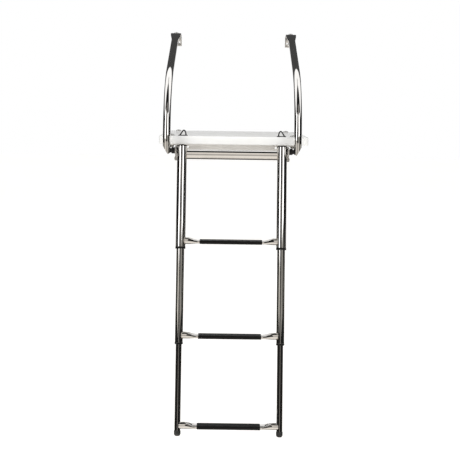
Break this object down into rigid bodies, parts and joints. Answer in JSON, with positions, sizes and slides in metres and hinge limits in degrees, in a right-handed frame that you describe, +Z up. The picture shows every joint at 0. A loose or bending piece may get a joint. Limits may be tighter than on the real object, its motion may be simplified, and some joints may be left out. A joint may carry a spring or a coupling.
{
  "type": "boat boarding ladder",
  "caption": "Transom boarding platform with curved grab rails and a telescoping step ladder that hangs from its front edge and folds up.",
  "frame": {"origin": "centre of the transom angle's back face, on the plane of the boat's transom", "axes": "+X to the right as seen from the water, +Y towards the boat, +Z up; the ladder is deployed and fully extended"},
  "size_m": [0.509, 0.7046, 1.3389],
  "materials": {
    "polished_stainless": "polished",
    "fastener_steel": "satin",
    "gelcoat": "gloss",
    "black_nylon": "satin",
    "tread_rubber": "matte"
  },
  "bodies": {
    "platform_frame": {"platform": "gelcoat", "transom_angle": "polished_stainless", "side_arm_left": "polished_stainless", "deck_bolt_front_left": "fastener_steel", "deck_nut_front_left": "fastener_steel", "deck_bolt_rear_left": "fastener_steel", "deck_nut_rear_left": "fastener_steel", "stop_pin_left": "fastener_steel", "pad_eye_left": "black_nylon", "grab_rail_left": "polished_stainless", "transom_bracket_left": "polished_stainless", "bracket_bolt_left": "fastener_steel", "bracket_nut_left": "fastener_steel", "rail_spacer_left": "black_nylon", "pivot_bolt_left": "fastener_steel", "pivot_washer_left": "black_nylon", "side_arm_right": "polished_stainless", "deck_bolt_front_right": "fastener_steel", "deck_nut_front_right": "fastener_steel", "deck_bolt_rear_right": "fastener_steel", "deck_nut_rear_right": "fastener_steel", "stop_pin_right": "fastener_steel", "pad_eye_right": "black_nylon", "grab_rail_right": "polished_stainless", "transom_bracket_right": "polished_stainless", "bracket_bolt_right": "fastener_steel", "bracket_nut_right": "fastener_steel", "rail_spacer_right": "black_nylon", "pivot_bolt_right": "fastener_steel", "pivot_washer_right": "black_nylon"},
    "upper_section": {"outer_tube_left": "polished_stainless", "outer_tube_right": "polished_stainless", "tube_cap_left": "black_nylon", "tube_cap_right": "black_nylon", "upper_collar_left": "black_nylon", "upper_collar_right": "black_nylon", "cross_tube": "polished_stainless", "upper_rung": "polished_stainless", "upper_tread": "tread_rubber"},
    "middle_section": {"middle_tube_left": "polished_stainless", "middle_tube_right": "polished_stainless", "middle_glide_left": "black_nylon", "middle_glide_right": "black_nylon", "middle_collar_left": "black_nylon", "middle_collar_right": "black_nylon", "middle_rung": "polished_stainless", "middle_tread": "tread_rubber"},
    "lower_section": {"lower_tube_left": "polished_stainless", "lower_tube_right": "polished_stainless", "lower_glide_left": "black_nylon", "lower_glide_right": "black_nylon", "foot_cap_left": "tread_rubber", "foot_cap_right": "tread_rubber", "lower_rung": "polished_stainless", "lower_tread": "tread_rubber"}
  },
  "joints": [
    {"name": "ladder_fold", "type": "hinge", "parent": "platform_frame", "child": "upper_section", "pos_m": [0, -0.49, 0.005], "axis": [-1, 0, 0], "range_deg": [0, 195]},
    {"name": "middle_slide", "type": "slide", "parent": "upper_section", "child": "middle_section", "axis": [0, 0.2181, 0.9759], "range_m": [0, 0.27]},
    {"name": "lower_slide", "type": "slide", "parent": "middle_section", "child": "lower_section", "axis": [0, 0.2181, 0.9759], "range_m": [0, 0.25]}
  ]
}
